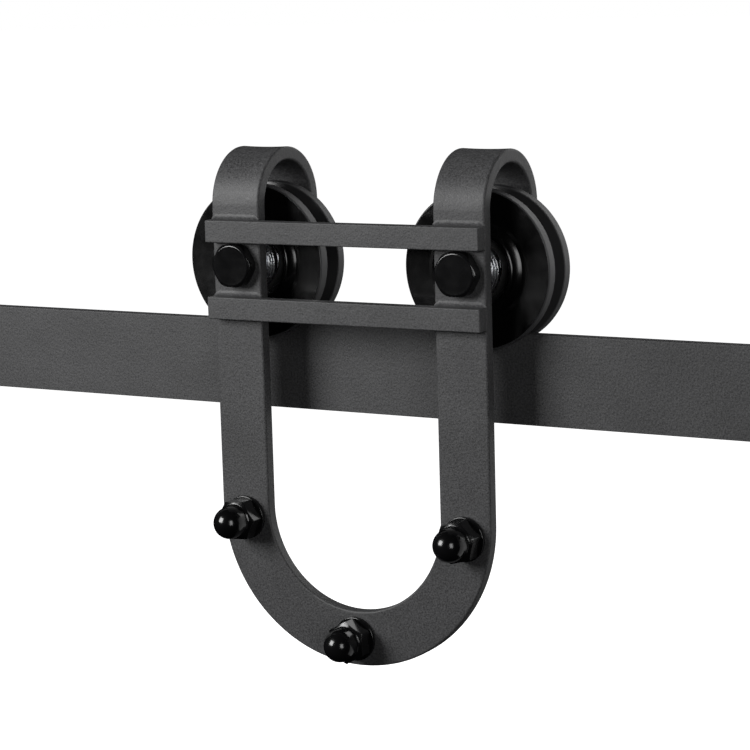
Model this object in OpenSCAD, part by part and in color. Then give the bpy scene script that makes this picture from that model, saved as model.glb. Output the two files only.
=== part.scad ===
// Sliding barn door track: a flat wall rail on standoffs, with one two-wheel horseshoe
// hanger that rolls along its top edge between two rubber-faced end stops.
// X runs along the rail, +Y points into the wall, +Z is up. The origin is on the wall
// plane, on the axis of the middle wall screw, at half the rail's height.

/* [Rail] */
// Length of the rail section
rail_l = 1000; // [980:10:2000]
// Height of the flat bar
rail_h = 40; // [38:1:44]
// Thickness of the flat bar
rail_t = 6; // [5:0.5:6]
// Distance between neighbouring wall screws
screw_pitch = 450; // [400:10:460]
// Gap between the rail's back face and the wall
standoff_l = 38; // [37:1:50]
// Diameter of a standoff
standoff_d = 20; // [18:1:22]

/* [Hanger] */
// Place of the hanger along the rail at rest
hanger_x = -210; // [-290:5:290]
// Width across the two legs
hanger_w = 138.5; // [132:0.5:145]
// Width of the strap
strap_w = 25; // [24:0.5:26]
// Thickness of the strap
strap_t = 6; // [5:0.5:6.5]
// Outer radius of the hook bends
hook_r = 25.5; // [25:0.5:27]
// Height of the hook bends' centres above the rail
hook_rise = 54.2; // [50:0.1:60]
// Depth of the centre of the U below the rail's top edge
u_drop = 81.5; // [75:0.1:120]
// Height of a crossbar
bar_h = 10; // [8:0.5:10]
// Thickness of a crossbar
bar_t = 6.2; // [5:0.1:8]
// Height of the lower crossbar's bottom above the rail's top edge
lower_bar_rise = 4; // [2:0.1:5]
// Height of the upper crossbar's bottom above the rail's top edge
upper_bar_rise = 38.6; // [38.2:0.1:40]

/* [Wheels] */
// Radius of the tread that runs on the rail
tread_r = 28.1; // [27:0.1:28.3]
// Radius of the flanges
flange_r = 35.2; // [34:0.1:36]
// Width across the flanges
wheel_w = 20.5; // [18:0.5:21]
// Width of the hub
hub_w = 24; // [23:0.5:25]

/* [Door fixings] */
// Angle of the side studs below the centre of the U
stud_angle = 6; // [0:1:20]
// Length of a stud behind the strap
stud_end_l = 12; // [8:1:40]

/* [Hidden] */
$fn = 96;
eps = 0.5;                          // how far a cutter runs past a face

// Rail and wall side
rail_back = -standoff_l;
rail_front = rail_back - rail_t;
rail_mid = rail_back - rail_t / 2;
rail_top = rail_h / 2;
screw_xs = [-screw_pitch, 0, screw_pitch];
screw_r = 4;                        // shank of a wall screw
screw_thread_r = 3.8;
screw_shank_in = 6;                 // plain shank beyond the wall plane
screw_thread_l = 40;
screw_point_l = 8;
screw_head_af = 14;
screw_head_h = 6;
screw_hole_r = 4.4;
rail_washer_r = 10;
rail_washer_t = 2;

// End stops
stop_l = 24;
stop_depth = 24;
stop_inset = 4;                     // from the rail's end
stop_skirt = 22;                    // how far the slot reaches down the rail
stop_height = 42;                   // above the rail's top edge
stop_corner_r = 6;
stop_slot_play = 0.2;
stop_x = -rail_l / 2 + stop_inset;
bumper_l = 12;
bumper_r = 8;
bumper_recess_r = 4.2;
bumper_recess_l = 5;
bumper_screw_r = 2.5;
bumper_screw_depth = 12;
bumper_head_r = 3.9;
bumper_head_h = 3;
socket_r = 1.7;                     // hexagon socket of the small screws
socket_depth = 3;
set_screw_r = 3;
set_screw_spread = 6;
fit_gap = 0.05;                     // radial gap of a screw in its own hole

// Hanger
half_w = hanger_w / 2;
u_inner_r = half_w - strap_w;
leg_x = half_w - strap_w / 2;
strap_front = rail_mid - hook_r;
strap_back = strap_front + strap_t;
hook_inner_r = hook_r - strap_t;
hook_tail_front = rail_mid + hook_inner_r;
hook_z = rail_top + hook_rise;
u_z = rail_top - u_drop;
tread_gap = 0.1;
axle_z = rail_top + tread_r + tread_gap;
bumper_z = axle_z;                  // the wheels meet the bumpers at axle height
tail_end_drop = 6;                  // from the axle to the centre of the tail's round end
axle_hole_r = 6.4;
stud_hole_r = 5.3;
studs = [
    [-leg_x * cos(stud_angle), u_z - leg_x * sin(stud_angle)],
    [leg_x * cos(stud_angle), u_z - leg_x * sin(stud_angle)],
    [0, u_z - leg_x]
];
nut_turns = [4, 16, 30];            // where each acorn nut came to rest when tightened

// Axles
axle_r = 5.95;
axle_af = 19;
axle_head_h = 5.5;
axle_nut_h = 6;
lock_washer_t = 2.5;
lock_washer_r = 10.3;
lock_washer_slit = 2;
axle_end = rail_mid + hook_r + lock_washer_t + axle_nut_h + 1;

// Bearing, on the axle
bearing_r = 16;
bearing_bore_r = 6;
bearing_w = 10;
inner_land_r = 9.3;
outer_land_r = 12.9;
pitch_r = 11;
ball_r = 2.95;
race_gap = 0.1;
ball_count = 7;
cage_r = [10.2, 11.8];
cage_w = 6.8;
pocket_gap = 0.15;
shield_r = [9.7, 13.7];
shield_t = 0.8;
shield_inset = 0.1;

// Spacers between the bearing and the strap
spacer_r = 9;
spacer_bore_r = 6.1;
spacer_l = hook_inner_r - bearing_w / 2;
collar_r = 13;
collar_t = 2.5;
collar_y = hub_w / 2;               // from the rail's middle plane

// Wheel section
hub_edge_r = 17;
lip_w = 0.7;                        // ridge around the bearing's pocket
lip_h = 0.4;
crown_r = 9;                        // rounding of the hub
crown_from = 14;                    // its slope at the lip and at the web, in degrees
crown_to = 42;
web_r = 23.5;
web_depth = 0.75;                   // below the flange's face
bevel_d = 0.6;                      // of a flange's outer edge
groove_half_w = 4.8;
groove_floor_half_w = 3.3;
groove_foot = 0.3;
hub_bore_r = 13.8;
ring_groove_r = 16.9;
ring_groove_w = 1.3;
ring_t = 1.2;
ring_r = [13.6, 16.8];
ring_opening = 9;

// Acorn nuts and studs
stud_r = 5;
stud_end_r = 4.7;                   // wood thread of a stud's door end
stud_tip = 1;                       // chamfer at a stud's free end
nut_af = 17;
nut_hex_h = 8;
nut_dome_r = 7.3;
nut_total_h = 19.5;
nut_bore_l = 13;
stud_washer_r = 10;
stud_washer_t = 2;
chamfer_slope = tan(60);            // radius gained per millimetre down a hex chamfer

// The child's +Z turns to face away from the wall
module facing_room(x, y, z) {
    translate([x, y, z]) rotate([90, 0, 0]) children();
}

// The child's +Z turns to face the wall
module facing_wall(x, y, z) {
    translate([x, y, z]) rotate([-90, 0, 0]) children();
}

module on_axles() {
    for (side = [-1, 1]) translate([hanger_x + side * leg_x, 0, 0]) children();
}

module tube(r_out, r_in, h) {
    difference() {
        cylinder(r = r_out, h = h);
        translate([0, 0, -eps]) cylinder(r = r_in, h = h + 2 * eps);
    }
}

// A hexagon prism with flats across af and the usual 30 degree chamfer on its top face
module hex_block(af, h) {
    face_r = 0.95 * af / 2;
    intersection() {
        cylinder(r = af / 2 / cos(30), h = h, $fn = 6);
        cylinder(r1 = face_r + chamfer_slope * h, r2 = face_r, h = h);
    }
}

// ---- Rail and what holds it to the wall ----

module rail() {
    color([0.16, 0.16, 0.17]) difference() {
        translate([-rail_l / 2, rail_front, -rail_h / 2]) cube([rail_l, rail_t, rail_h]);
        for (x = screw_xs)
            facing_room(x, rail_back + eps, 0) cylinder(r = screw_hole_r, h = rail_t + 2 * eps);
    }
}

module wall_standoff(x) {
    color([0.14, 0.14, 0.15]) facing_room(x, 0, 0) tube(standoff_d / 2, screw_hole_r, standoff_l);
}

module wall_screws() {
    color([0.05, 0.05, 0.05]) for (x = screw_xs) {
        facing_room(x, rail_front - rail_washer_t, 0) hex_block(screw_head_af, screw_head_h);
        facing_room(x, screw_shank_in, 0)
            cylinder(r = screw_r, h = screw_shank_in + standoff_l + rail_t + rail_washer_t);
        facing_wall(x, screw_shank_in, 0) cylinder(r = screw_thread_r, h = screw_thread_l);
        facing_wall(x, screw_shank_in + screw_thread_l, 0)
            cylinder(r1 = screw_thread_r, r2 = 0.4, h = screw_point_l);
    }
}

module rail_washers() {
    color([0.06, 0.06, 0.06]) for (x = screw_xs)
        facing_room(x, rail_front, 0) tube(rail_washer_r, screw_hole_r, rail_washer_t);
}

// ---- End stops: each shape is built for the left end and mirrored for the right one ----

module both_ends() {
    children();
    mirror([1, 0, 0]) children();
}

module stop_outline() {
    w = stop_l;
    top = rail_top + stop_height;
    translate([0, rail_top - stop_skirt]) square([w, stop_skirt + stop_height - stop_corner_r]);
    translate([stop_corner_r, top - 2 * stop_corner_r])
        square([w - 2 * stop_corner_r, 2 * stop_corner_r]);
    for (x = [stop_corner_r, w - stop_corner_r])
        translate([x, top - stop_corner_r]) circle(r = stop_corner_r);
}

module end_stop() {
    slot_w = rail_t + 2 * stop_slot_play;
    skirt_z = rail_top - stop_skirt / 2;
    color([0.13, 0.13, 0.14]) difference() {
        facing_room(stop_x, rail_mid + stop_depth / 2, 0)
            linear_extrude(stop_depth) stop_outline();
        translate([stop_x - eps, rail_mid - slot_w / 2, rail_top - stop_skirt - eps])
            cube([stop_l + 2 * eps, slot_w, stop_skirt + eps]);
        translate([stop_x + stop_l - bumper_screw_depth, rail_mid, bumper_z])
            rotate([0, 90, 0]) cylinder(r = bumper_screw_r + fit_gap, h = bumper_screw_depth + eps);
        for (dx = [-1, 1])
            facing_room(stop_x + stop_l / 2 + dx * set_screw_spread, rail_mid, skirt_z)
                cylinder(r = set_screw_r + fit_gap, h = stop_depth / 2 + eps);
    }
}

module stop_bumper() {
    color([0.08, 0.08, 0.08]) translate([stop_x + stop_l, rail_mid, bumper_z])
        rotate([0, 90, 0]) difference() {
            cylinder(r = bumper_r, h = bumper_l);
            translate([0, 0, -eps]) cylinder(r = bumper_screw_r + fit_gap, h = bumper_l + 2 * eps);
            translate([0, 0, bumper_l - bumper_recess_l])
                cylinder(r = bumper_recess_r, h = bumper_recess_l + eps);
        }
}

module bumper_screw() {
    seat = bumper_l - bumper_recess_l;
    buried = bumper_screw_depth - 1;
    translate([stop_x + stop_l, rail_mid, bumper_z]) rotate([0, 90, 0]) {
        translate([0, 0, -buried]) cylinder(r = bumper_screw_r, h = buried + seat);
        translate([0, 0, seat]) difference() {
            cylinder(r = bumper_head_r, h = bumper_head_h);
            translate([0, 0, bumper_head_h / 2])
                cylinder(r = socket_r, h = bumper_head_h, $fn = 6);
        }
    }
}

module bumper_screws() {
    color([0.05, 0.05, 0.05]) both_ends() bumper_screw();
}

module stop_set_screws() {
    l = (stop_depth - rail_t) / 2;
    color([0.05, 0.05, 0.05]) both_ends() for (dx = [-1, 1])
        facing_room(stop_x + stop_l / 2 + dx * set_screw_spread, rail_front,
                    rail_top - stop_skirt / 2) difference() {
            cylinder(r = set_screw_r, h = l);
            translate([0, 0, l - socket_depth])
                cylinder(r = socket_r, h = socket_depth + eps, $fn = 6);
        }
}

// ---- Hanger ----

module leg_holes() {
    on_axles() facing_room(0, rail_mid + hook_r + eps, axle_z)
        cylinder(r = axle_hole_r, h = 2 * hook_r + 2 * eps);
    for (s = studs) facing_room(hanger_x + s[0], strap_back + eps, s[1])
        cylinder(r = stud_hole_r, h = strap_t + 2 * eps);
}

// The front of the strap, seen from the room: a U of constant width
module u_outline() {
    difference() {
        circle(r = half_w);
        circle(r = u_inner_r);
        translate([-hanger_w, 0]) square([2 * hanger_w, 2 * hanger_w]);
    }
    for (side = [-1, 1]) translate([side * leg_x - strap_w / 2, -eps])
        square([strap_w, hook_z - u_z + eps]);
}

module horseshoe_strap() {
    color([0.18, 0.18, 0.19]) difference() {
        union() {
            facing_room(hanger_x, strap_back, u_z) linear_extrude(strap_t) u_outline();
            on_axles() {
                translate([-strap_w / 2, rail_mid, hook_z]) rotate([90, 0, 90])
                    rotate_extrude(angle = 180)
                        translate([hook_inner_r, 0]) square([strap_t, strap_w]);
                translate([-strap_w / 2, hook_tail_front, axle_z - tail_end_drop])
                    cube([strap_w, strap_t, hook_z - axle_z + tail_end_drop]);
                facing_wall(0, hook_tail_front, axle_z - tail_end_drop)
                    cylinder(r = strap_w / 2, h = strap_t);
            }
        }
        leg_holes();
    }
}

module crossbar(rise) {
    color([0.17, 0.17, 0.18]) translate([hanger_x - half_w, strap_front - bar_t, rail_top + rise])
        cube([hanger_w, bar_t, bar_h]);
}

module axle_bolt(side) {
    x = hanger_x + side * leg_x;
    tip = 1;
    shank_l = axle_end - strap_front;
    color([0.04, 0.04, 0.04]) {
        facing_room(x, strap_front, axle_z) hex_block(axle_af, axle_head_h);
        facing_wall(x, strap_front, axle_z) cylinder(r = axle_r, h = shank_l - tip);
        facing_wall(x, axle_end - tip, axle_z) cylinder(r1 = axle_r, r2 = axle_r - tip, h = tip);
    }
}

module axle_nuts() {
    color([0.05, 0.05, 0.05]) on_axles()
        facing_wall(0, rail_mid + hook_r + lock_washer_t, axle_z) difference() {
            hex_block(axle_af, axle_nut_h);
            translate([0, 0, -eps]) cylinder(r = axle_r + fit_gap, h = axle_nut_h + 2 * eps);
        }
}

module axle_lock_washers() {
    color([0.06, 0.06, 0.06]) on_axles()
        facing_wall(0, rail_mid + hook_r, axle_z) difference() {
            tube(lock_washer_r, axle_r + 0.25, lock_washer_t);
            translate([0, -lock_washer_slit / 2, -eps])
                cube([2 * lock_washer_r, lock_washer_slit, lock_washer_t + 2 * eps]);
        }
}

// dir is -1 for the front spacer and 1 for the rear one
module axle_spacer(side, dir) {
    x = hanger_x + side * leg_x;
    turn = dir < 0 ? 90 : -90;
    color([0.75, 0.76, 0.78]) translate([x, rail_mid + dir * bearing_w / 2, axle_z])
        rotate([turn, 0, 0]) difference() {
            union() {
                cylinder(r = spacer_r, h = spacer_l);
                translate([0, 0, collar_y - bearing_w / 2]) cylinder(r = collar_r, h = collar_t);
            }
            translate([0, 0, -eps]) cylinder(r = spacer_bore_r, h = spacer_l + 2 * eps);
        }
}

module door_studs() {
    front = stud_washer_t + strap_t + nut_bore_l - 1;
    color([0.05, 0.05, 0.05]) for (s = studs) {
        facing_room(hanger_x + s[0], strap_back, s[1]) cylinder(r = stud_r, h = front);
        facing_wall(hanger_x + s[0], strap_back, s[1])
            cylinder(r = stud_end_r, h = stud_end_l - stud_tip);
        facing_wall(hanger_x + s[0], strap_back + stud_end_l - stud_tip, s[1])
            cylinder(r1 = stud_end_r, r2 = stud_end_r - stud_tip, h = stud_tip);
    }
}

module door_stud_washers() {
    color([0.05, 0.05, 0.05]) for (s = studs)
        facing_room(hanger_x + s[0], strap_front, s[1])
            tube(stud_washer_r, stud_hole_r, stud_washer_t);
}

module acorn_nuts() {
    color([0.03, 0.03, 0.03]) for (i = [0:len(studs) - 1])
        facing_room(hanger_x + studs[i][0], strap_front - stud_washer_t, studs[i][1]) difference() {
            union() {
                rotate(nut_turns[i]) hex_block(nut_af, nut_hex_h);
                cylinder(r = nut_dome_r, h = nut_total_h - nut_dome_r);
                translate([0, 0, nut_total_h - nut_dome_r]) sphere(r = nut_dome_r);
            }
            translate([0, 0, -eps]) cylinder(r = stud_r + fit_gap, h = nut_bore_l + eps);
        }
}

// ---- Wheels and bearings, turned about the axle: the profile is [radius, offset from rail] ----

// Turns a profile about an axle. Offsets grow towards the wall.
module turned(side) {
    translate([hanger_x + side * leg_x, rail_mid, axle_z]) rotate([-90, 0, 0])
        rotate_extrude() children();
}

// One face of the wheel from the hub to the middle of the tread, dir is -1 for the front
function wheel_face(dir) = let (hub = hub_w / 2, rim = wheel_w / 2, lip_r = hub_edge_r + lip_w) concat(
    [[lip_r, dir * hub]],
    [for (a = [crown_from:4:crown_to])
        [lip_r + lip_h + crown_r * (sin(a) - sin(crown_from)),
         dir * (hub - lip_h - crown_r * (cos(crown_from) - cos(a)))]],
    [[web_r, dir * (rim - web_depth)],
     [flange_r - bevel_d, dir * rim],
     [flange_r, dir * (rim - bevel_d)],
     [flange_r, dir * groove_half_w],
     [tread_r + groove_foot, dir * (groove_floor_half_w + groove_foot)],
     [tread_r, dir * groove_floor_half_w]]
);

function reversed(list) = [for (i = [len(list) - 1:-1:0]) list[i]];

module wheel(side) {
    hub = hub_w / 2;
    seat = bearing_w / 2;
    color([0.05, 0.05, 0.05]) turned(side) polygon(concat(
        [[hub_bore_r, seat], [bearing_r, seat], [bearing_r, -seat], [ring_groove_r, -seat],
         [ring_groove_r, -seat - ring_groove_w], [bearing_r, -seat - ring_groove_w],
         [bearing_r, -hub + 1], [hub_edge_r, -hub]],
        wheel_face(-1),
        reversed(wheel_face(1)),
        [[hub_bore_r, hub]]
    ));
}

module retaining_ring(side) {
    x = hanger_x + side * leg_x;
    color([0.3, 0.3, 0.3]) facing_room(x, rail_mid - bearing_w / 2, axle_z) difference() {
        tube(ring_r[1], ring_r[0], ring_t);
        translate([-ring_opening / 2, -2 * ring_r[1], -eps])
            cube([ring_opening, 2 * ring_r[1], ring_t + 2 * eps]);
    }
}

module bearing_inner_ring(side) {
    half = bearing_w / 2;
    color([0.7, 0.7, 0.72]) turned(side) difference() {
        translate([bearing_bore_r, -half]) square([inner_land_r - bearing_bore_r, bearing_w]);
        translate([pitch_r, 0]) circle(r = ball_r + race_gap);
    }
}

module bearing_outer_ring(side) {
    half = bearing_w / 2;
    step = shield_t + shield_inset;
    color([0.7, 0.7, 0.72]) turned(side) difference() {
        translate([outer_land_r, -half]) square([bearing_r - outer_land_r, bearing_w]);
        translate([pitch_r, 0]) circle(r = ball_r + race_gap);
        for (y = [-half - eps, half - step])
            translate([outer_land_r - eps, y])
                square([shield_r[1] - outer_land_r + eps, step + eps]);
    }
}

module bearing_shields(side) {
    inner_face = bearing_w / 2 - shield_t - shield_inset;
    color([0.1, 0.1, 0.1]) for (y = [-inner_face - shield_t, inner_face]) turned(side)
        translate([shield_r[0], y]) square([shield_r[1] - shield_r[0], shield_t]);
}

// Centres of the balls, in the turned frame of one bearing
module at_balls(side) {
    translate([hanger_x + side * leg_x, rail_mid, axle_z]) rotate([-90, 0, 0])
        for (i = [0:ball_count - 1]) rotate(360 * i / ball_count) translate([pitch_r, 0, 0])
            children();
}

module bearing_balls(side) {
    color([0.85, 0.85, 0.87]) at_balls(side) sphere(r = ball_r);
}

module ball_cage(side) {
    color([0.6, 0.5, 0.3]) difference() {
        turned(side) translate([cage_r[0], -cage_w / 2]) square([cage_r[1] - cage_r[0], cage_w]);
        at_balls(side) rotate([0, 90, 0])
            cylinder(r = ball_r + pocket_gap, h = pitch_r / 2, center = true);
    }
}

rail();
wall_standoff(screw_xs[0]);  // wall_standoff_left
wall_standoff(screw_xs[1]);  // wall_standoff_middle
wall_standoff(screw_xs[2]);  // wall_standoff_right
wall_screws();
rail_washers();
end_stop();  // end_stop_left
mirror([1, 0, 0]) end_stop();  // end_stop_right
stop_bumper();  // stop_bumper_left
mirror([1, 0, 0]) stop_bumper();  // stop_bumper_right
bumper_screws();
stop_set_screws();
horseshoe_strap();
crossbar(upper_bar_rise);  // upper_crossbar
crossbar(lower_bar_rise);  // lower_crossbar
axle_bolt(-1);  // axle_bolt_left
axle_bolt(1);  // axle_bolt_right
axle_nuts();
axle_lock_washers();
axle_spacer(-1, -1);  // front_spacer_left
axle_spacer(1, -1);  // front_spacer_right
axle_spacer(-1, 1);  // rear_spacer_left
axle_spacer(1, 1);  // rear_spacer_right
bearing_inner_ring(-1);  // bearing_inner_ring_left
bearing_inner_ring(1);  // bearing_inner_ring_right
door_studs();
door_stud_washers();
acorn_nuts();
wheel(-1);  // wheel_left
wheel(1);  // wheel_right
bearing_outer_ring(-1);  // bearing_outer_ring_left
bearing_outer_ring(1);  // bearing_outer_ring_right
bearing_shields(-1);  // bearing_shields_left
bearing_shields(1);  // bearing_shields_right
retaining_ring(-1);  // retaining_ring_left
retaining_ring(1);  // retaining_ring_right
bearing_balls(-1);  // bearing_balls_left
bearing_balls(1);  // bearing_balls_right
ball_cage(-1);  // ball_cage_left
ball_cage(1);  // ball_cage_right
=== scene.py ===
"""Looks of a sliding barn door track: flat rail, horseshoe hanger with two wheels, end stops.

Metres, in the frame of the CAD model: X along the rail, +Y into the wall, +Z up. Sizes and
places come from the boxes of the CAD nodes. Local parts are made along +Z and then turned.
"""
import math

import bmesh
import bpy
from mathutils import Matrix, Vector, noise


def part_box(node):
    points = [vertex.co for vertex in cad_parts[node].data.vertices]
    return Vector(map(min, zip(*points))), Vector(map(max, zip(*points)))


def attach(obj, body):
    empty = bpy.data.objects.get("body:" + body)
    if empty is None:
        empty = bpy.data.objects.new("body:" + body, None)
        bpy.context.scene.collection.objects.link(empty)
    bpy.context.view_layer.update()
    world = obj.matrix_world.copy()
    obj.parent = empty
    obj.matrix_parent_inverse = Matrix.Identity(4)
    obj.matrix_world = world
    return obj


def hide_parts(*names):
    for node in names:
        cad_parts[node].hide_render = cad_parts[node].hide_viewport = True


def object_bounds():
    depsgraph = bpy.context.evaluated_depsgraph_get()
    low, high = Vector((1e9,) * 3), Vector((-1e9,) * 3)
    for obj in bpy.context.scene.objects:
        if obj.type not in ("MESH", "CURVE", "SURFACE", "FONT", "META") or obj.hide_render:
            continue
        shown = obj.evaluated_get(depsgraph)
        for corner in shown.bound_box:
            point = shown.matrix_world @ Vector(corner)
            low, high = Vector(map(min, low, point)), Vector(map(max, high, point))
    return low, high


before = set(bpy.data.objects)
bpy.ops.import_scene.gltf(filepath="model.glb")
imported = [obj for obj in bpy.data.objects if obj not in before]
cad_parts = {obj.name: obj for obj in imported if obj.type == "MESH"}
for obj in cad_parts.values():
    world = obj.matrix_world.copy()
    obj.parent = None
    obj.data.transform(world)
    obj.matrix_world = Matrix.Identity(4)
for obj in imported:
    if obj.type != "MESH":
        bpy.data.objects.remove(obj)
CAD_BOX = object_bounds()
MM = 0.001
TINY = 1e-7

# ---- Sizes read from the CAD boxes ----

RAIL_LO, RAIL_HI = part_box("rail")
STRAP_LO, STRAP_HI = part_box("horseshoe_strap")
WHEEL_LO, WHEEL_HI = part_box("wheel_right")
HANGER_X = (STRAP_LO.x + STRAP_HI.x) / 2
HALF_W = (STRAP_HI.x - STRAP_LO.x) / 2
RAIL_MID = (RAIL_LO.y + RAIL_HI.y) / 2
AXLE_Z = (WHEEL_LO.z + WHEEL_HI.z) / 2
LEG_X = (WHEEL_LO.x + WHEEL_HI.x) / 2 - HANGER_X
STRAP_W = 2 * (HALF_W - LEG_X)
STRAP_FRONT = STRAP_LO.y
STRAP_T = STRAP_HI.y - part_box("rear_spacer_right")[1].y
HOOK_R = RAIL_MID - STRAP_FRONT
HOOK_Z = STRAP_HI.z - HOOK_R
U_Z = STRAP_LO.z + HALF_W
SIDES = {"left": -1, "right": 1}
SCREW_HOLE_R = 4.4 * MM
STUD_R = 5 * MM
STUD_HOLE_R = 5.3 * MM


def middle(node):
    lo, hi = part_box(node)
    return (lo + hi) / 2


def centres(count, node):
    """Centres along X of equal round pieces of one node, spread evenly."""
    lo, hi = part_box(node)
    radius = (hi.z - lo.z) / 2
    first, last = lo.x + radius, hi.x - radius
    return [first + (last - first) * i / (count - 1) for i in range(count)]


# ---- Outlines ----

def rounded(points, radius, steps=4, closed=True):
    """Replaces the corners of an outline with arcs. A third number in a point is its own radius."""
    flat = [Vector(p[:2]) for p in points]
    out = []
    for i, p in enumerate(flat):
        r = points[i][2] if len(points[i]) > 2 else radius
        end = not closed and i in (0, len(flat) - 1)
        a, b = flat[i - 1] - p, flat[(i + 1) % len(flat)] - p
        angle = a.angle(b) if a.length > TINY and b.length > TINY else math.pi
        if end or r <= 0 or angle > math.radians(177):
            out.append(p)
            continue
        cut = min(r / math.tan(angle / 2), 0.45 * a.length, 0.45 * b.length)
        a.normalize()
        b.normalize()
        reach = cut * math.tan(angle / 2) / math.sin(angle / 2)
        centre = p + (a + b).normalized() * reach
        spoke = p + a * cut - centre
        sweep = spoke.angle_signed(p + b * cut - centre)
        for k in range(steps + 1):
            turn = -sweep * k / steps
            out.append(centre + Matrix.Rotation(turn, 2) @ spoke)
    return out


def hex_outline(af, corner):
    """A hexagon across the flats af, with rounded corners and points along its sides."""
    per_side = 9
    reach = af / 2 / math.cos(math.radians(30))
    corners = [(reach * math.cos(math.radians(60 * i)), reach * math.sin(math.radians(60 * i)))
               for i in range(6)]
    shaped = rounded(corners, corner, steps=4)
    out = []
    for i, p in enumerate(shaped):
        q = shaped[(i + 1) % len(shaped)]
        cuts = per_side if (q - p).length > af / 4 else 1
        out += [p.lerp(q, k / cuts) for k in range(cuts)]
    return out


# ---- Skins ----

def stack(rings, loop=False):
    """One skin over rings of points, in order. A ring of one point closes the skin."""
    bm = bmesh.new()
    made = [[bm.verts.new(p) for p in ring] for ring in rings]
    pairs = list(zip(made, made[1:])) + ([(made[-1], made[0])] if loop else [])
    for a, b in pairs:
        count = max(len(a), len(b))
        for i in range(count):
            j = (i + 1) % count
            if len(a) == 1:
                bm.faces.new((a[0], b[j], b[i]))
            elif len(b) == 1:
                bm.faces.new((a[i], a[j], b[0]))
            else:
                bm.faces.new((a[i], a[j], b[j], b[i]))
    bmesh.ops.remove_doubles(bm, verts=bm.verts, dist=TINY * 10)
    bmesh.ops.recalc_face_normals(bm, faces=bm.faces)
    return bm


def turned(profile, steps=96):
    """A lathe shape about Z from (radius, height) points."""
    turns = [2 * math.pi * i / steps for i in range(steps)]
    rings = []
    for r, h in profile:
        on_axis = r < TINY
        rings.append([Vector((0, 0, h))] if on_axis else
                     [Vector((r * math.cos(a), r * math.sin(a), h)) for a in turns])
    return stack(rings, loop=profile[0][0] >= TINY)


def rod(stops, radius_at):
    """A closed round bar whose radius is radius_at(height, turn), turn running from 0 to 1."""
    steps = 40
    rings = [[Vector((0, 0, stops[0]))]]
    for h in stops:
        ring = []
        for i in range(steps):
            r, a = radius_at(h, i / steps), 2 * math.pi * i / steps
            ring.append(Vector((r * math.cos(a), r * math.sin(a), h)))
        rings.append(ring)
    rings.append([Vector((0, 0, stops[-1]))])
    return stack(rings)


def threaded_rod(length, radius, pitch, depth, start=0.0, tip=0.0, tip_radius=None, plain=None):
    """A rod with a real helical thread from start to its end, and a tapered tip."""
    tip_radius = radius - tip if tip_radius is None else tip_radius
    per_turn = 10
    fine = math.ceil((length - start) / pitch * per_turn)
    stops = [0.0] if start > 0 else []
    stops += [start + (length - start) * i / fine for i in range(fine + 1)]

    def radius_at(h, turn):
        if h < start + TINY and start > 0:
            return plain or radius
        phase = (h / pitch - turn) % 1.0
        valley = min(1.0, 1.3 * (1 - abs(2 * phase - 1)))
        fade = min(1.0, (h - start) / pitch)
        outer = radius
        if tip and h > length - tip:
            outer = radius + (tip_radius - radius) * (h - length + tip) / tip
        return max(outer - depth * valley * fade * outer / radius, TINY * 100)

    return rod(stops, radius_at)


def hex_solid(af, height, face=0.95, base_chamfer=False, bore=0.0, dome=None, dip=0.0, turn=0.0,
              corner=0.35 * MM, ease=0.18 * MM):
    """A hexagon head or nut with 30 degree chamfers, along +Z from 0."""
    outline = [Matrix.Rotation(turn, 2) @ p for p in hex_outline(af, corner)]
    face_r = face * af / 2
    slope = math.tan(math.radians(30))

    def at_radius(r, h):
        return [Vector((*(p.normalized() * r), h)) for p in outline]

    def at_edge(height_of):
        return [Vector((p.x, p.y, height_of((p.length - face_r) * slope))) for p in outline]

    lead = 0.6 * MM
    rings = []
    if bore:
        rings += [at_radius(bore, lead), at_radius(bore + lead, 0)]
    else:
        rings += [[Vector((0, 0, 0))]]
    if base_chamfer:
        rings += [at_radius(face_r, 0), at_edge(lambda drop: drop)]
    else:
        rings += [at_edge(lambda drop: 0)]
    rings += [at_edge(lambda drop: height - drop), at_radius(face_r, height)]
    if dome:
        dome_r, total = dome
        foot = total - dome_r
        rings += [at_radius(dome_r + 0.5 * MM, height), at_radius(dome_r, height + 0.5 * MM)]
        rings += [at_radius(dome_r, foot)]
        steps = 16
        for i in range(1, steps):
            a = math.pi / 2 * i / steps
            rings.append(at_radius(dome_r * math.cos(a), foot + dome_r * math.sin(a)))
        rings.append([Vector((0, 0, total))])
    elif bore:
        rings += [at_radius(bore + lead, height), at_radius(bore, height - lead)]
    else:
        rings += [at_radius(0.93 * face_r, height), at_radius(0.86 * face_r, height - dip)]
        rings += [[Vector((0, 0, height - dip))]]
    bm = stack(rings, loop=bool(bore) and not dome)
    return soften(bm, ease, 24)


def block(lo, hi):
    bm = bmesh.new()
    bmesh.ops.create_cube(bm, size=1)
    for v in bm.verts:
        v.co = Vector([lo[k] + (hi[k] - lo[k]) * (v.co[k] + 0.5) for k in range(3)])
    return bm


def capped(bm):
    """Closes the open ends of a skin."""
    bmesh.ops.holes_fill(bm, edges=bm.edges)
    bmesh.ops.recalc_face_normals(bm, faces=bm.faces)
    return bm


def soften(bm, width, min_angle=30, segments=2):
    """Rounds every edge of a skin that turns by more than min_angle degrees."""
    limit = math.radians(min_angle)
    edges = [e for e in bm.edges if len(e.link_faces) == 2 and e.calc_face_angle(0) > limit]
    bmesh.ops.bevel(bm, geom=edges, offset=width, offset_type="OFFSET", segments=segments,
                    profile=0.5, affect="EDGES", clamp_overlap=True)
    return bm


# ---- Places: where a part made along +Z goes ----

def place(x, y, z, turn=0.0, axis="X"):
    return Matrix.Translation((x, y, z)) @ Matrix.Rotation(math.radians(turn), 4, axis)


def facing_room(x, y, z):
    return place(x, y, z, 90)


def facing_wall(x, y, z):
    return place(x, y, z, -90)


HERE = Matrix.Identity(4)


# ---- Pieces ----

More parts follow.
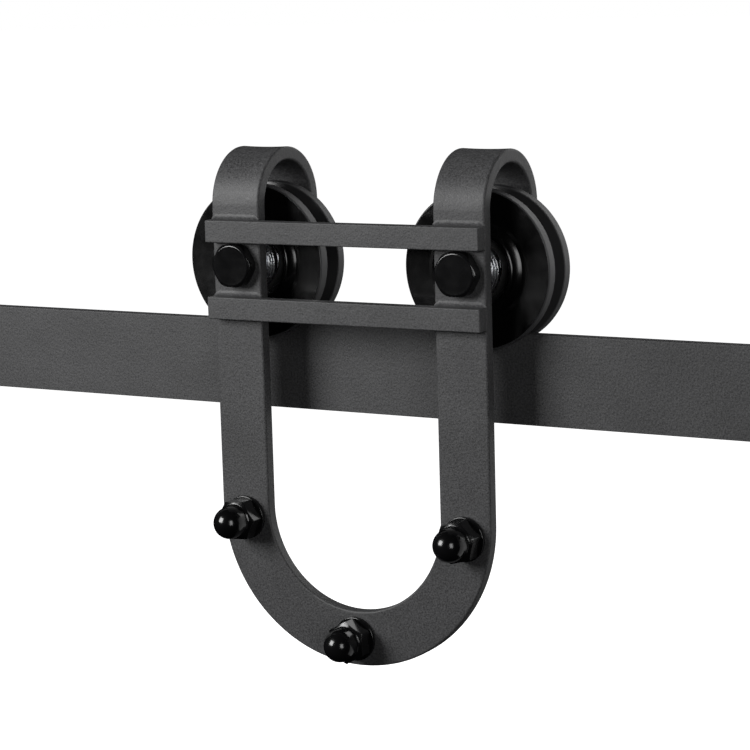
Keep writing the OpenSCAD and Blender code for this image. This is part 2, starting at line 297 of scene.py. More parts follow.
def join(parts):
    """One skin from (skin, place) pairs."""
    bm = bmesh.new()
    for part, at in parts:
        part.transform(at)
        if at.determinant() < 0:
            bmesh.ops.reverse_faces(part, faces=part.faces)
        mesh = bpy.data.meshes.new("part")
        part.to_mesh(mesh)
        part.free()
        bm.from_mesh(mesh)
        bpy.data.meshes.remove(mesh)
    return bm


def to_object(name, bm):
    mesh = bpy.data.meshes.new(name)
    bm.to_mesh(mesh)
    bm.free()
    obj = bpy.data.objects.new(name, mesh)
    bpy.context.scene.collection.objects.link(obj)
    return obj


def carve(bm, cutters):
    """Cuts each (skin, place) pair out of a skin."""
    obj = to_object("carved", bm)
    tool = to_object("carving_tool", join(cutters))
    cut = obj.modifiers.new("cut", "BOOLEAN")
    cut.operation, cut.solver, cut.object = "DIFFERENCE", "EXACT", tool
    shaped = bpy.data.meshes.new_from_object(
        obj.evaluated_get(bpy.context.evaluated_depsgraph_get()))
    out = bmesh.new()
    out.from_mesh(shaped)
    for o in (obj, tool):
        bpy.data.objects.remove(o)
    bpy.data.meshes.remove(shaped)
    return out


def piece(name, body, slot, parts, replaces, origin=None, sharp=38):
    """A finished piece: smooth shading with sharp edges kept, riding on its body."""
    bm = join(parts)
    if origin is not None:
        bmesh.ops.translate(bm, verts=bm.verts, vec=-Vector(origin))
    limit = math.radians(sharp)
    for e in bm.edges:
        e.smooth = len(e.link_faces) == 2 and e.calc_face_angle(0) < limit
    for f in bm.faces:
        f.smooth = True
    obj = to_object(name, bm)
    if origin is not None:
        obj.location = origin
    weighted = obj.modifiers.new("face_weighted", "WEIGHTED_NORMAL")
    weighted.keep_sharp = True
    obj.data.materials.append(MATERIALS[slot])
    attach(obj, body)
    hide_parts(replaces)
    return obj


# ---- Materials ----

def shader(name, base, roughness, metallic=0.0, specular=0.5):
    mat = bpy.data.materials.new(name)
    mat.use_nodes = True
    tree = mat.node_tree
    bsdf = tree.nodes["Principled BSDF"]
    bsdf.inputs["Base Color"].default_value = (*base, 1)
    bsdf.inputs["Roughness"].default_value = roughness
    bsdf.inputs["Metallic"].default_value = metallic
    bsdf.inputs["Specular IOR Level"].default_value = specular
    return mat, tree, bsdf


def node(tree, kind, **settings):
    made = tree.nodes.new(kind)
    for key, value in settings.items():
        if key in made.inputs:
            made.inputs[key].default_value = value
        else:
            setattr(made, key, value)
    return made


def grain(tree, scale, detail=2.0, rough=0.5):
    """A noise in the object's own space, scale in features per metre."""
    coords = node(tree, "ShaderNodeTexCoord")
    made = node(tree, "ShaderNodeTexNoise", Scale=scale, Detail=detail, Roughness=rough)
    tree.links.new(coords.outputs["Object"], made.inputs["Vector"])
    return made.outputs["Fac"]


def spread(tree, source, low, high, start=0.3, stop=0.7):
    """Maps a factor to a range of numbers, or of colours when low and high are tuples."""
    if isinstance(low, tuple):
        ramp = node(tree, "ShaderNodeValToRGB")
        ends = ramp.color_ramp.elements
        ends[0].position, ends[0].color = start, (*low, 1)
        ends[1].position, ends[1].color = stop, (*high, 1)
        tree.links.new(source, ramp.inputs["Fac"])
        return ramp.outputs["Color"]
    made = node(tree, "ShaderNodeMapRange")
    made.inputs["From Min"].default_value = start
    made.inputs["From Max"].default_value = stop
    made.inputs["To Min"].default_value = low
    made.inputs["To Max"].default_value = high
    tree.links.new(source, made.inputs["Value"])
    return made.outputs["Result"]


def bump(tree, bsdf, *layers):
    """Chains (height, strength, distance) layers into the shader's normal."""
    normal = None
    for height, strength, distance in layers:
        made = node(tree, "ShaderNodeBump", Strength=strength, Distance=distance)
        tree.links.new(height, made.inputs["Height"])
        if normal:
            tree.links.new(normal, made.inputs["Normal"])
        normal = made.outputs["Normal"]
    tree.links.new(normal, bsdf.inputs["Normal"])


def radius_about_y(tree):
    """Distance from the object's own Y axis, in metres."""
    coords = node(tree, "ShaderNodeTexCoord")
    flat = node(tree, "ShaderNodeVectorMath", operation="MULTIPLY")
    flat.inputs[1].default_value = (1, 0, 1)
    tree.links.new(coords.outputs["Object"], flat.inputs[0])
    size = node(tree, "ShaderNodeVectorMath", operation="LENGTH")
    tree.links.new(flat.outputs["Vector"], size.inputs[0])
    return size.outputs["Value"]


def rings_about_y(tree, scale):
    """Fine turning marks: waves in the distance from the object's own Y axis."""
    made = node(tree, "ShaderNodeTexNoise", noise_dimensions="1D", Scale=1.0, Detail=2.0)
    times = node(tree, "ShaderNodeMath", operation="MULTIPLY")
    times.inputs[1].default_value = scale
    tree.links.new(radius_about_y(tree), times.inputs[0])
    tree.links.new(times.outputs["Value"], made.inputs["W"])
    return made.outputs["Fac"]


def powder_coat():
    """Matt charcoal powder coat: fine pebbled grain with lighter and darker specks."""
    mat, tree, bsdf = shader("powder_coat", (0.05, 0.05, 0.051), 0.5, specular=0.4)
    specks = grain(tree, 1250, detail=3, rough=0.6)
    drift = grain(tree, 45, detail=2)
    dark = spread(tree, specks, (0.03, 0.03, 0.031), (0.077, 0.077, 0.079), 0.34, 0.66)
    even = spread(tree, drift, (0.9, 0.9, 0.9), (1.1, 1.1, 1.1), 0.3, 0.7)
    mix = node(tree, "ShaderNodeMix", data_type="RGBA", blend_type="MULTIPLY")
    mix.inputs["Factor"].default_value = 1
    tree.links.new(dark, mix.inputs["A"])
    tree.links.new(even, mix.inputs["B"])
    tree.links.new(mix.outputs["Result"], bsdf.inputs["Base Color"])
    tree.links.new(spread(tree, specks, 0.42, 0.62), bsdf.inputs["Roughness"])
    bump(tree, bsdf, (grain(tree, 420, detail=2), 0.4, 0.25 * MM),
         (grain(tree, 1100, detail=2), 0.7, 0.14 * MM))
    return mat


def smooth_black(name, base, low, high):
    """A black finish with slight variation in gloss and shade."""
    mat, tree, bsdf = shader(name, base, low)
    wipe = grain(tree, 160, detail=4)
    tree.links.new(spread(tree, wipe, low, high), bsdf.inputs["Roughness"])
    shade = tuple(c * 1.6 for c in base)
    tree.links.new(spread(tree, grain(tree, 90, detail=3), base, shade), bsdf.inputs["Base Color"])
    bump(tree, bsdf, (grain(tree, 700, detail=2), 0.06, 0.05 * MM))
    return mat


def wheel_black():
    """Satin black on the faces. The flanges' outer bands are rougher and lighter grey, the grey a
    painted sheen for the light they catch at a slant; the groove is rougher and a little greyer.
    """
    mat, tree, bsdf = shader("wheel_black", (0.0015, 0.0015, 0.0016), 0.2)
    # Painted sheen: a lighter grey base colour on the flanges' outer bands stands in for the light
    # they catch at a slant
    painted_sheen_band = spread(tree, radius_about_y(tree), 0.0, 1.0, 34.5 * MM, 34.9 * MM)
    coords = node(tree, "ShaderNodeTexCoord")
    split = node(tree, "ShaderNodeSeparateXYZ")
    tree.links.new(coords.outputs["Object"], split.inputs[0])
    across = node(tree, "ShaderNodeMath", operation="ABSOLUTE")
    tree.links.new(split.outputs["Y"], across.inputs[0])
    groove = spread(tree, across.outputs["Value"], 0.45, 0.0, 4.9 * MM, 5.1 * MM)
    band_sheen_and_groove = node(tree, "ShaderNodeMath", operation="MAXIMUM")
    tree.links.new(painted_sheen_band, band_sheen_and_groove.inputs[0])
    tree.links.new(groove, band_sheen_and_groove.inputs[1])
    wipe = spread(tree, grain(tree, 160, detail=4), -0.03, 0.03)
    total = node(tree, "ShaderNodeMath", operation="ADD")
    tree.links.new(spread(tree, band_sheen_and_groove.outputs["Value"], 0.2, 0.5, 0, 1), total.inputs[0])
    tree.links.new(wipe, total.inputs[1])
    tree.links.new(total.outputs["Value"], bsdf.inputs["Roughness"])
    # Base colour: the painted sheen on the outer bands, and a little grey in the groove
    tree.links.new(spread(tree, band_sheen_and_groove.outputs["Value"], (0.0015, 0.0015, 0.0016),
                          (0.048, 0.048, 0.05), 0, 1), bsdf.inputs["Base Color"])
    bump(tree, bsdf, (grain(tree, 700, detail=2), 0.06, 0.05 * MM),
         (rings_about_y(tree, 3500), 0.12, 0.03 * MM))
    return mat


def turned_steel(name, base, low, high, marks=5000):
    """Bright metal with turning marks and slight tarnish."""
    mat, tree, bsdf = shader(name, base, low, metallic=1.0)
    shade = tuple(c * 0.8 for c in base)
    tree.links.new(spread(tree, grain(tree, 250, detail=3), shade, base),
                   bsdf.inputs["Base Color"])
    tree.links.new(spread(tree, grain(tree, 300, detail=2), low, high), bsdf.inputs["Roughness"])
    bump(tree, bsdf, (rings_about_y(tree, marks), 0.06, 0.03 * MM))
    return mat


def rubber():
    """Matt black moulded rubber with a faint grain."""
    mat, tree, bsdf = shader("bumper_rubber", (0.02, 0.02, 0.02), 0.7, specular=0.35)
    tree.links.new(spread(tree, grain(tree, 120, detail=4), (0.016, 0.016, 0.016),
                          (0.032, 0.031, 0.03)), bsdf.inputs["Base Color"])
    tree.links.new(spread(tree, grain(tree, 600), 0.6, 0.85), bsdf.inputs["Roughness"])
    bump(tree, bsdf, (grain(tree, 1500, detail=2), 0.3, 0.06 * MM))
    return mat


MATERIALS = {
    "powder_coat": powder_coat(),
    "wheel_black": wheel_black(),
    "black_fastener": smooth_black("black_fastener", (0.003, 0.003, 0.0032), 0.13, 0.19),
    "gloss_black": smooth_black("gloss_black", (0.003, 0.003, 0.0032), 0.13, 0.19),
    "zinc_steel": turned_steel("zinc_steel", (0.82, 0.83, 0.85), 0.24, 0.32),
    "bearing_steel": turned_steel("bearing_steel", (0.6, 0.6, 0.61), 0.15, 0.25),
    "ring_steel": turned_steel("ring_steel", (0.2, 0.2, 0.21), 0.3, 0.42),
    "ball_steel": turned_steel("ball_steel", (0.8, 0.8, 0.82), 0.05, 0.1, marks=800),
    "cage_brass": turned_steel("cage_brass", (0.7, 0.55, 0.28), 0.25, 0.4),
    "seal_black": smooth_black("seal_black", (0.012, 0.012, 0.012), 0.5, 0.7),
    "bumper_rubber": rubber(),
}


# ---- Rail and what holds it to the wall ----

SCREW_XS = centres(3, "rail_washers")
SCREW_Z = middle("rail_washers").z


def hole(radius, x, front, back, z):
    """A cutter through everything between two Y planes, with room at both ends."""
    spare = 1 * MM
    length = back - front + 2 * spare
    skin = turned([(0, 0), (radius, 0), (radius, length), (0, length)], 48)
    return skin, facing_wall(x, front - spare, z)


def build_rail():
    bar = soften(block(RAIL_LO, RAIL_HI), 0.4 * MM, 30, 3)
    bar = carve(bar, [hole(SCREW_HOLE_R, x, RAIL_LO.y, RAIL_HI.y, SCREW_Z) for x in SCREW_XS])
    piece("rail_bar", "track", "powder_coat", [(bar, HERE)], "rail")


def ring_profile(outer, inner, low, high, radius):
    return rounded([(outer, low), (outer, high), (inner, high), (inner, low)], radius, steps=3)


def build_standoffs():
    for side in ("left", "middle", "right"):
        node_name = "wall_standoff_" + side
        lo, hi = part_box(node_name)
        mid, outer = (lo + hi) / 2, (hi.x - lo.x) / 2
        skin = turned(ring_profile(outer, SCREW_HOLE_R, 0, hi.y - lo.y, 0.5 * MM))
        piece("standoff_" + side, "track", "powder_coat",
              [(skin, facing_room(mid.x, hi.y, mid.z))], node_name)


def build_rail_washers():
    lo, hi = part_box("rail_washers")
    outer = (hi.z - lo.z) / 2
    parts = [(turned(ring_profile(outer, SCREW_HOLE_R, 0, hi.y - lo.y, 0.35 * MM)),
              facing_room(x, hi.y, SCREW_Z)) for x in SCREW_XS]
    piece("rail_washer_set", "track", "black_fastener", parts, "rail_washers")


def build_wall_screws():
    lo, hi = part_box("wall_screws")
    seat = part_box("rail_washers")[0].y
    head_af, head_h = 14 * MM, seat - lo.y
    plain, thread, point_l, thread_from = 4 * MM, 3.8 * MM, 8 * MM, 6 * MM
    parts = []
    for x in SCREW_XS:
        parts.append((hex_solid(head_af, head_h, dip=0.3 * MM), facing_room(x, seat, SCREW_Z)))
        shank = threaded_rod(hi.y - seat, thread, 3.4 * MM, 0.9 * MM, start=thread_from - seat,
                             tip=point_l, tip_radius=0.3 * MM, plain=plain)
        parts.append((shank, facing_wall(x, seat, SCREW_Z)))
    piece("wall_screw_set", "track", "black_fastener", parts, "wall_screws")


# ---- End stops: each shape is made for the left end, the right end mirrors it ----

MIRROR = Matrix.Scale(-1, 4, (1, 0, 0))
STOP_LO, STOP_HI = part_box("end_stop_left")
BUMPER_LO, BUMPER_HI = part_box("stop_bumper_left")
SET_SCREW_R = 3 * MM
SET_SCREW_SPREAD = 6 * MM


def set_screw_places():
    lo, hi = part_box("stop_set_screws")
    z = (lo.z + hi.z) / 2
    mid = (STOP_LO.x + STOP_HI.x) / 2
    return [(mid + k * SET_SCREW_SPREAD, z) for k in (-1, 1)]


def end_stop_skin():
    corner = 6 * MM
    outline = rounded([(STOP_LO.x, STOP_LO.z, 0), (STOP_HI.x, STOP_LO.z, 0),
                       (STOP_HI.x, STOP_HI.z), (STOP_LO.x, STOP_HI.z)], corner, steps=12)
    faces = [[Vector((p.x, y, p.y)) for p in outline] for y in (STOP_LO.y, STOP_HI.y)]
    skin = capped(stack(faces))
    play = 0.2 * MM
    slot = block((STOP_LO.x - MM, RAIL_LO.y - play, STOP_LO.z - MM),
                 (STOP_HI.x + MM, RAIL_HI.y + play, RAIL_HI.z))
    cutters = [(slot, HERE)]
    for x, z in set_screw_places():
        cutters.append(hole(SET_SCREW_R + 0.05 * MM, x, STOP_LO.y, RAIL_LO.y, z))
    skin = carve(skin, cutters)
    bmesh.ops.dissolve_limit(skin, angle_limit=math.radians(1), verts=skin.verts, edges=skin.edges)
    return soften(skin, 0.45 * MM, 40, 3)


def bumper_skin():
    radius, length = (BUMPER_HI.z - BUMPER_LO.z) / 2, BUMPER_HI.x - BUMPER_LO.x
    recess_r, recess_l = 4.2 * MM, 5 * MM
    profile = rounded([(0, 0), (radius, 0, 0.4 * MM), (radius, length, 1.6 * MM),
                       (recess_r, length, 0.8 * MM), (recess_r, length - recess_l, 0.3 * MM),
                       (0, length - recess_l)], 0, steps=6, closed=False)
    return turned(profile, 64)


def socket_screw(radius, length, depth=2 * MM):
    """A round screw end with a hexagon socket."""
    socket_r = 1.7 * MM
    skin = turned([(0, 0), (radius, 0), (radius, length - 0.3 * MM),
                   (radius - 0.3 * MM, length), (0, length)], 48)
    socket = hex_solid(2 * socket_r * math.cos(math.radians(30)), depth + MM, face=1.1)
    return carve(skin, [(socket, Matrix.Translation((0, 0, length - depth)))])


def build_end_stops():
    mid = (BUMPER_LO + BUMPER_HI) / 2
    seat = place(BUMPER_LO.x, mid.y, mid.z, 90, "Y")
    head = place(BUMPER_HI.x - 5 * MM, mid.y, mid.z, 90, "Y")
    for side, flip in (("left", HERE), ("right", MIRROR)):
        piece("stop_block_" + side, "track", "powder_coat", [(end_stop_skin(), flip)],
              "end_stop_" + side)
        piece("bumper_" + side, "track", "bumper_rubber", [(bumper_skin(), flip @ seat)],
              "stop_bumper_" + side)
    heads, grubs = [], []
    for flip in (HERE, MIRROR):
        heads.append((socket_screw(3.9 * MM, 3 * MM), flip @ head))
        for x, z in set_screw_places():
            grub = socket_screw(SET_SCREW_R, RAIL_LO.y - STOP_LO.y - 0.4 * MM, depth=2.6 * MM)
            grubs.append((grub, flip @ facing_room(x, RAIL_LO.y, z)))
    piece("bumper_screw_heads", "track", "black_fastener", heads, "bumper_screws")
    piece("set_screw_set", "track", "black_fastener", grubs, "stop_set_screws")


# ---- Hanger strap ----

EDGE_R = 1.0 * MM
SADDLE = 0.35 * MM                      # how far a hook's crown sinks between its edges


def strap_section():
    """Closed outline of the flat strap: (offset across the width, depth below the outer face)."""
    half = STRAP_W / 2
    across = 8
    inner = half - EDGE_R
    out = []
    for cx, cy, first in ((inner, EDGE_R, 90), (inner, STRAP_T - EDGE_R, 0),
                          (-inner, STRAP_T - EDGE_R, -90), (-inner, EDGE_R, -180)):
        for k in range(5):
            a = math.radians(first - 22.5 * k)
            out.append((cx + EDGE_R * math.cos(a), cy - EDGE_R * math.sin(a)))
        if cx > 0 and cy > EDGE_R:
            out += [(inner - 2 * inner * k / across, STRAP_T) for k in range(1, across)]
    out += [(-inner + 2 * inner * k / across, 0) for k in range(1, across)]
    return out


def strap_path():
    """Stations from the left tail to the right one.

    Each is (centre, direction, outer normal, bend, end): bend is how far a hook's station lies up
    its arc, end is the angle around a tail's round end.
    """
    out = []
    tail_y = 2 * RAIL_MID - STRAP_FRONT
    tail_z = AXLE_Z - 6 * MM            # centre of a tail's round end
    end_steps, hook_steps, u_steps = 12, 48, 96

    def leg(side):
        x = HANGER_X + side * LEG_X
        if side < 0:
            for k in range(end_steps, -1, -1):
                out.append((Vector((x, tail_y, tail_z)), Vector((0, 0, 1)), Vector((0, 1, 0)), 0,
                            -math.pi / 2 * k / end_steps))
        for k in range(hook_steps + 1):
            a = math.pi * k / hook_steps
            turn = a if side < 0 else math.pi - a
            normal = Vector((0, math.cos(turn), math.sin(turn)))
            centre = Vector((x, RAIL_MID, HOOK_Z)) + HOOK_R * normal
            heading = Vector((0, -math.sin(turn), math.cos(turn))) * (1 if side < 0 else -1)
            out.append((centre, heading, normal, math.sin(turn), 0))
        if side > 0:
            for k in range(end_steps + 1):
                out.append((Vector((x, tail_y, tail_z)), Vector((0, 0, -1)), Vector((0, 1, 0)), 0,
                            math.pi / 2 * k / end_steps))

    leg(-1)
    for k in range(u_steps + 1):
        a = math.pi + math.pi * k / u_steps
        spoke = Vector((math.cos(a), 0, math.sin(a)))
        centre = Vector((HANGER_X, STRAP_FRONT, U_Z)) + LEG_X * spoke
        out.append((centre, Vector((-math.sin(a), 0, math.cos(a))), Vector((0, -1, 0)), 0, 0))
    leg(1)
    return out


def strap_skin():
    section = strap_section()
    half, flat = STRAP_W / 2, STRAP_W / 2 - EDGE_R
    rings = []
    for centre, heading, normal, bend, end in strap_path():
        side = heading.cross(normal)
        ring = []
        for u, depth in section:
            sink = SADDLE * math.sqrt(bend) * (1 - (u / half) ** 2) if bend > 0 else 0
            along = max(abs(u), flat) * math.sin(end)
            ring.append(centre + side * (u * math.cos(end)) - normal * (depth + sink)
                        + heading * along)
        rings.append(ring)
    return stack(rings)


def stud_places():
    """(x, z) of the three door studs: two on the legs, one at the bottom of the U."""
    lo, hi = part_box("door_studs")
    side_z = hi.z - STUD_R
    return [(lo.x + STUD_R, side_z), (hi.x - STUD_R, side_z), (HANGER_X, lo.z + STUD_R)]


def build_strap():
    skin = capped(strap_skin())
    axle_hole_r = 6.4 * MM
    cutters = [hole(axle_hole_r, HANGER_X + s * LEG_X, STRAP_LO.y, STRAP_HI.y, AXLE_Z)
               for s in SIDES.values()]
    cutters += [hole(STUD_HOLE_R, x, STRAP_FRONT, STRAP_FRONT + STRAP_T, z)
                for x, z in stud_places()]
    piece("bent_strap", "hanger", "powder_coat", [(carve(skin, cutters), HERE)],
          "horseshoe_strap")


# ---- Crossbars and their welds ----

def weld_bead(length, size, seed):
    """A concave fillet along X in the corner between -Y and +Z, with a slightly uneven edge."""
    steps, arc = 40, 6
    rings = []
    for i in range(steps + 1):
        t = i / steps
        fade = min(1.0, 8 * min(t, 1 - t) + 0.25)
        wobble = 1 + 0.14 * noise.noise(Vector((t * 9, seed, 0)))
        reach = size * fade * wobble
        ring = [Vector((t * length, 0.2 * MM, -0.2 * MM))]
        for k in range(arc + 1):
            a = math.pi / 2 * k / arc
            ring.append(Vector((t * length, -reach * (1 - math.sin(a)), reach * (1 - math.cos(a)))))
        rings.append(ring)
    return capped(stack(rings))


def build_crossbars():
    over, under = 2.4 * MM, 1.3 * MM
    for level, name in enumerate(("upper_crossbar", "lower_crossbar")):
        lo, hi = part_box(name)
        bar = soften(block(lo, hi), 0.5 * MM, 30, 3)
        parts = [(bar, HERE)]
        for k, side in enumerate(SIDES.values()):
            x = HANGER_X + side * LEG_X - STRAP_W / 2
            seed = 3 * level + k
            parts.append((weld_bead(STRAP_W, over, seed), place(x, hi.y, hi.z)))
            flip = Matrix.Scale(-1, 4, (0, 0, 1))
            parts.append((weld_bead(STRAP_W, under, seed + 10), place(x, hi.y, lo.z) @ flip))
        piece("welded_" + name, "hanger", "powder_coat", parts, name)


# ---- Axles ----

def build_axles():
    for name in SIDES:
        node_name = "axle_bolt_" + name
        lo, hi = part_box(node_name)
        mid = (lo + hi) / 2
        head_h, head_af = STRAP_FRONT - lo.y, hi.z - lo.z
        radius, thread_from = 5.95 * MM, 42 * MM
        head = hex_solid(head_af, head_h, face=0.94, dip=0.05 * MM, corner=5 * MM,
                         ease=0.15 * MM)
        shank = threaded_rod(hi.y - STRAP_FRONT, radius, 1.75 * MM, 0.8 * MM,
                             start=thread_from, tip=1 * MM)
        piece("axle_" + name, "hanger", "black_fastener",
              [(head, facing_room(mid.x, STRAP_FRONT, mid.z)),
               (shank, facing_wall(mid.x, STRAP_FRONT, mid.z))], node_name)


def build_axle_nuts():
    lo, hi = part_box("axle_nuts")
    parts = [(hex_solid(hi.z - lo.z, hi.y - lo.y, base_chamfer=True, bore=5.8 * MM),
              facing_wall(HANGER_X + s * LEG_X, lo.y, AXLE_Z)) for s in SIDES.values()]
    piece("axle_nut_pair", "hanger", "black_fastener", parts, "axle_nuts")


def split_washer(outer, inner, thick):
    """A spring washer: one turn of square wire with a gap, its ends a little apart."""
    gap, lift = 10, 0.2 * MM            # the gap is in degrees
    section = rounded([(outer, 0), (outer, thick - lift), (inner, thick - lift), (inner, 0)],
                      0.25 * MM, steps=3)
    steps = 72
    rings = []
    for i in range(steps + 1):
        a = math.radians(gap / 2 + (360 - gap) * i / steps)
        rise = lift * i / steps
        rings.append([Vector((p.x * math.cos(a), p.x * math.sin(a), p.y + rise)) for p in section])
    return capped(stack(rings))


def build_lock_washers():
    lo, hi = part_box("axle_lock_washers")
    outer, inner = (hi.z - lo.z) / 2, 6.2 * MM
    parts = [(split_washer(outer, inner, hi.y - lo.y),
              facing_wall(HANGER_X + s * LEG_X, lo.y, AXLE_Z)) for s in SIDES.values()]
    piece("spring_washer_pair", "hanger", "black_fastener", parts, "axle_lock_washers")


def spacer_profile(length, collar_from, collar_l, collar_r, tube_r, bore):
    """The collar has turned ridges on the side that shows."""
    pitch, crest, slope, depth = 1.3 * MM, 0.55 * MM, 0.1 * MM, 1.1 * MM
    crest_round, foot_round = 0.25 * MM, 0.05 * MM
    top = collar_from + collar_l
    low = top - depth
    ridges = []
    for k in range(3):
        r = collar_r - k * pitch
        ridges += [(r, low, foot_round), (r - slope, top, crest_round),
                   (r - slope - crest, top, crest_round), (r - 2 * slope - crest, low, foot_round)]
    return rounded([(tube_r, 0), (tube_r, collar_from), (collar_r, collar_from)] + ridges +
                   [(tube_r, low), (tube_r, length), (bore, length), (bore, 0)],
                   0.15 * MM, steps=5)


def build_spacers():
    collar_from, collar_l, tube_r, bore = 7 * MM, 2.5 * MM, 9 * MM, 6.1 * MM
    for name in SIDES:
        for end, turn in (("front", 90), ("rear", -90)):
            node_name = f"{end}_spacer_{name}"
            lo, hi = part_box(node_name)
            mid, length = (lo + hi) / 2, hi.y - lo.y
            base_y = hi.y if end == "front" else lo.y
            base = Vector((mid.x, base_y, mid.z))
            profile = spacer_profile(length, collar_from, collar_l, (hi.x - lo.x) / 2, tube_r,
                                     bore)
            piece(f"{end}_bush_{name}", "hanger", "zinc_steel",
                  [(turned(profile), place(*base, turn))], node_name, origin=base)


# ---- Door studs and acorn nuts ----

def build_door_fixings():
    stud_lo, stud_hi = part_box("door_studs")
    washer_lo, washer_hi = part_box("door_stud_washers")
    nut_lo, nut_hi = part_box("acorn_nuts")
    nut_af, hex_h, dome_r = 17 * MM, 8 * MM, 7.3 * MM
    turns = (4, 16, 30)                 # degrees each nut was left at when tightened
    total = nut_hi.y - nut_lo.y
    washer_r = (washer_hi.x - washer_lo.x) / 2 - (stud_hi.x - stud_lo.x) / 2 + STUD_R
    studs, washers, nuts = [], [], []
    for (x, z), turn in zip(stud_places(), turns):
        stud = threaded_rod(stud_hi.y - stud_lo.y, 4.85 * MM, 1.5 * MM, 0.7 * MM, tip=1 * MM)
        studs.append((stud, facing_wall(x, stud_lo.y, z)))
        washer = ring_profile(washer_r, STUD_HOLE_R, 0, washer_hi.y - washer_lo.y, 0.5 * MM)
        washers.append((turned(washer), facing_room(x, washer_hi.y, z)))
        nut = hex_solid(nut_af, hex_h, face=0.93, base_chamfer=True, dome=(dome_r, total),
                        turn=math.radians(turn), ease=0.12 * MM)
        nuts.append((nut, facing_room(x, nut_hi.y, z)))
    piece("threaded_studs", "hanger", "black_fastener", studs, "door_studs")
    piece("stud_washer_set", "hanger", "black_fastener", washers, "door_stud_washers")
    piece("domed_nuts", "hanger", "gloss_black", nuts, "acorn_nuts")


# ---- Wheels ----

def wheel_profile():
    """Closed section of a wheel: (radius, offset from the middle of the tread)."""
    rim_r = (WHEEL_HI.z - WHEEL_LO.z) / 2
    hub = (WHEEL_HI.y - WHEEL_LO.y) / 2
    rim, tread_r = 10.25 * MM, 28.1 * MM
    hub_edge, lip_w, lip_h, crown_r = 17 * MM, 0.7 * MM, 0.4 * MM, 9 * MM
    web_r, web_depth, bevel = 23.5 * MM, 0.75 * MM, 0.6 * MM
    groove, floor = 4.8 * MM, 3.3 * MM
    seat, bearing_r, bore = 5 * MM, 16 * MM, 13.8 * MM
    clip_r, clip_w = 16.9 * MM, 1.3 * MM    # groove of the retaining ring
    slope_from, slope_to = math.radians(14), math.radians(42)
    steps = 10

    def face(direction):
        lip_r = hub_edge + lip_w
        out = [(lip_r, direction * hub, 0.25 * MM)]
        for i in range(steps + 1):
            a = slope_from + (slope_to - slope_from) * i / steps
            out.append((lip_r + lip_h + crown_r * (math.sin(a) - math.sin(slope_from)),
                        direction * (hub - lip_h - crown_r * (math.cos(slope_from) - math.cos(a))),
                        0))
        out += [(web_r, direction * (rim - web_depth), 1.2 * MM),
                (rim_r - bevel, direction * rim, 0.3 * MM),
                (rim_r, direction * (rim - bevel), 0.3 * MM),
                (rim_r, direction * groove, 0.5 * MM), (tread_r, direction * floor, 0.8 * MM)]
        return out

    inner = [(bore, seat, 0), (bearing_r, seat, 0), (bearing_r, -seat, 0), (clip_r, -seat, 0),
             (clip_r, -seat - clip_w, 0), (bearing_r, -seat - clip_w, 0),
             (bearing_r, -hub + 1 * MM, 0.3 * MM), (hub_edge, -hub, 0.3 * MM)]
    return rounded(inner + face(-1) + face(1)[::-1] + [(bore, hub, 0.4 * MM)], 0, steps=4)


def build_wheels():
    for name, side in SIDES.items():
        centre = Vector((HANGER_X + side * LEG_X, RAIL_MID, AXLE_Z))
        piece("grooved_wheel_" + name, name + "_wheel", "wheel_black",
              [(turned(wheel_profile(), 160), place(*centre, -90))], "wheel_" + name,
              origin=centre, sharp=50)


def dress_cad_nodes():
    """The bearings keep their CAD shapes and get finishes of their own."""
    finishes = {"bearing_inner_ring": "bearing_steel", "bearing_outer_ring": "bearing_steel",
                "bearing_shields": "seal_black", "retaining_ring": "ring_steel",
                "bearing_balls": "ball_steel", "ball_cage": "cage_brass"}
    for stem, slot in finishes.items():
        for side in SIDES:
            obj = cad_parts[f"{stem}_{side}"]
            obj.data.materials.clear()
            obj.data.materials.append(MATERIALS[slot])


# ---- Studio ----

AIM = Vector((HANGER_X + 2.1 * MM, RAIL_LO.y - 2.9 * MM, SCREW_Z - 1.6 * MM))


def toward(azimuth, elevation):
    """Unit vector from the object to a viewer: azimuth 0 stands in the room, 90 at the right."""
    az, el = math.radians(azimuth), math.radians(elevation)
    return Vector((math.sin(az) * math.cos(el), -math.cos(az) * math.cos(el), math.sin(el)))


def build_camera():
    azimuth, elevation, roll, distance = 30.5, 9.13, math.radians(-1.626), 1.07
    data = bpy.data.cameras.new("camera")
    data.sensor_width, data.lens = 36, 114.86
    camera = bpy.data.objects.new("camera", data)
    bpy.context.scene.collection.objects.link(camera)
    back = toward(azimuth, elevation)
    right = Vector((math.cos(math.radians(azimuth)), math.sin(math.radians(azimuth)), 0))
    up = back.cross(right)
    x_axis = right * math.cos(roll) + up * math.sin(roll)
    y_axis = up * math.cos(roll) - right * math.sin(roll)
    turn = Matrix((x_axis, y_axis, back)).transposed().to_4x4()
    camera.matrix_world = Matrix.Translation(AIM + back * distance) @ turn
    bpy.context.scene.camera = camera


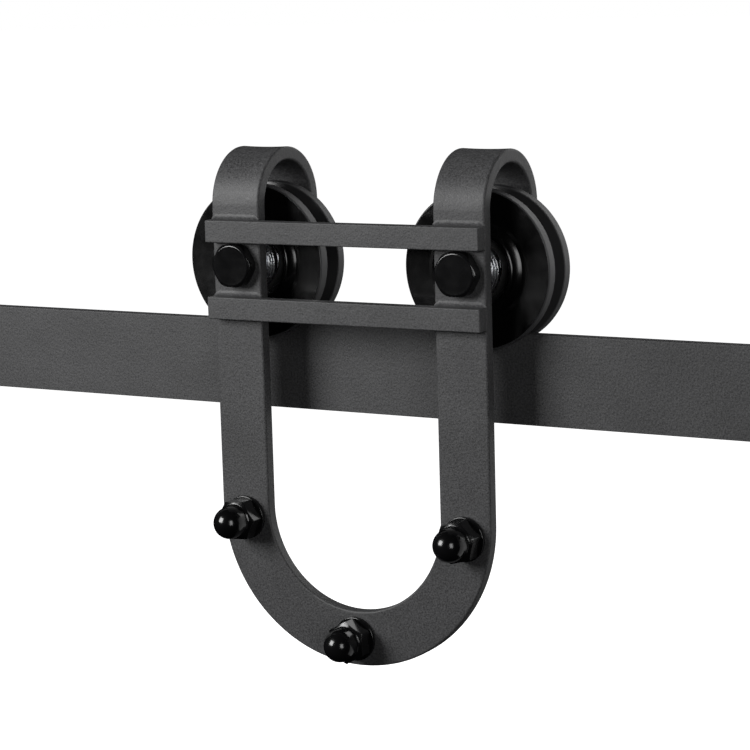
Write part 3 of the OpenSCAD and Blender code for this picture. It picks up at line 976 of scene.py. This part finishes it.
def softbox(name, azimuth, elevation, distance, size, power, aim=AIM):
    data = bpy.data.lights.new(name, "AREA")
    data.shape, data.energy = "RECTANGLE", power
    data.size, data.size_y = size
    lamp = bpy.data.objects.new(name, data)
    bpy.context.scene.collection.objects.link(lamp)
    direction = toward(azimuth, elevation)
    lamp.matrix_world = Matrix.Translation(aim + direction * distance) \
        @ direction.to_track_quat("Z", "Y").to_matrix().to_4x4()
    return lamp


def build_studio():
    floor_z = CAD_BOX[0][2] - 0.35
    bm = bmesh.new()
    bmesh.ops.create_grid(bm, x_segments=1, y_segments=1, size=40)
    bmesh.ops.translate(bm, verts=bm.verts, vec=(0, 0, floor_z))
    floor = to_object("studio_floor", bm)
    mat, _, bsdf = shader("pale_floor", (0.8, 0.8, 0.8), 0.9, specular=0.1)
    bsdf.inputs["Emission Color"].default_value = (1, 1, 1, 1)
    bsdf.inputs["Emission Strength"].default_value = 1.05
    floor.data.materials.append(mat)
    floor.visible_diffuse = False
    floor.visible_glossy = False

    world = bpy.data.worlds.new("studio")
    bpy.context.scene.world = world
    world.use_nodes = True
    background = world.node_tree.nodes["Background"]
    background.inputs["Color"].default_value = (1, 1, 1, 1)
    background.inputs["Strength"].default_value = 1.0
    world.cycles_visibility.diffuse = False
    world.cycles_visibility.glossy = False

    softbox("key", -37, 20.5, 1.25, (0.6, 0.6), 15.5)
    softbox("fill", 44, 10, 1.8, (0.6, 0.9), 8.5)
    softbox("backdrop", 130, -12, 1.6, (1.4, 2.4), 5.5)
    softbox("rear", 168, 18, 1.8, (1.0, 1.6), 9)
    # These three lift the ends and the top for other views and make no reflections
    for name, azimuth, elevation, power in (("side_left", -100, 20, 14), ("side_right", 98, 12, 6),
                                            ("overhead", 180, 75, 3)):
        lamp = softbox(name, azimuth, elevation, 1.8, (1.6, 1.6), power, aim=Vector((0, 0, 0)))
        lamp.visible_glossy = False
    bpy.context.scene.view_settings.view_transform = "Standard"


build_camera()
build_rail()
build_standoffs()
build_rail_washers()
build_wall_screws()
build_end_stops()
build_strap()
build_crossbars()
build_axles()
build_axle_nuts()
build_lock_washers()
build_spacers()
build_door_fixings()
build_wheels()
dress_cad_nodes()
build_studio()
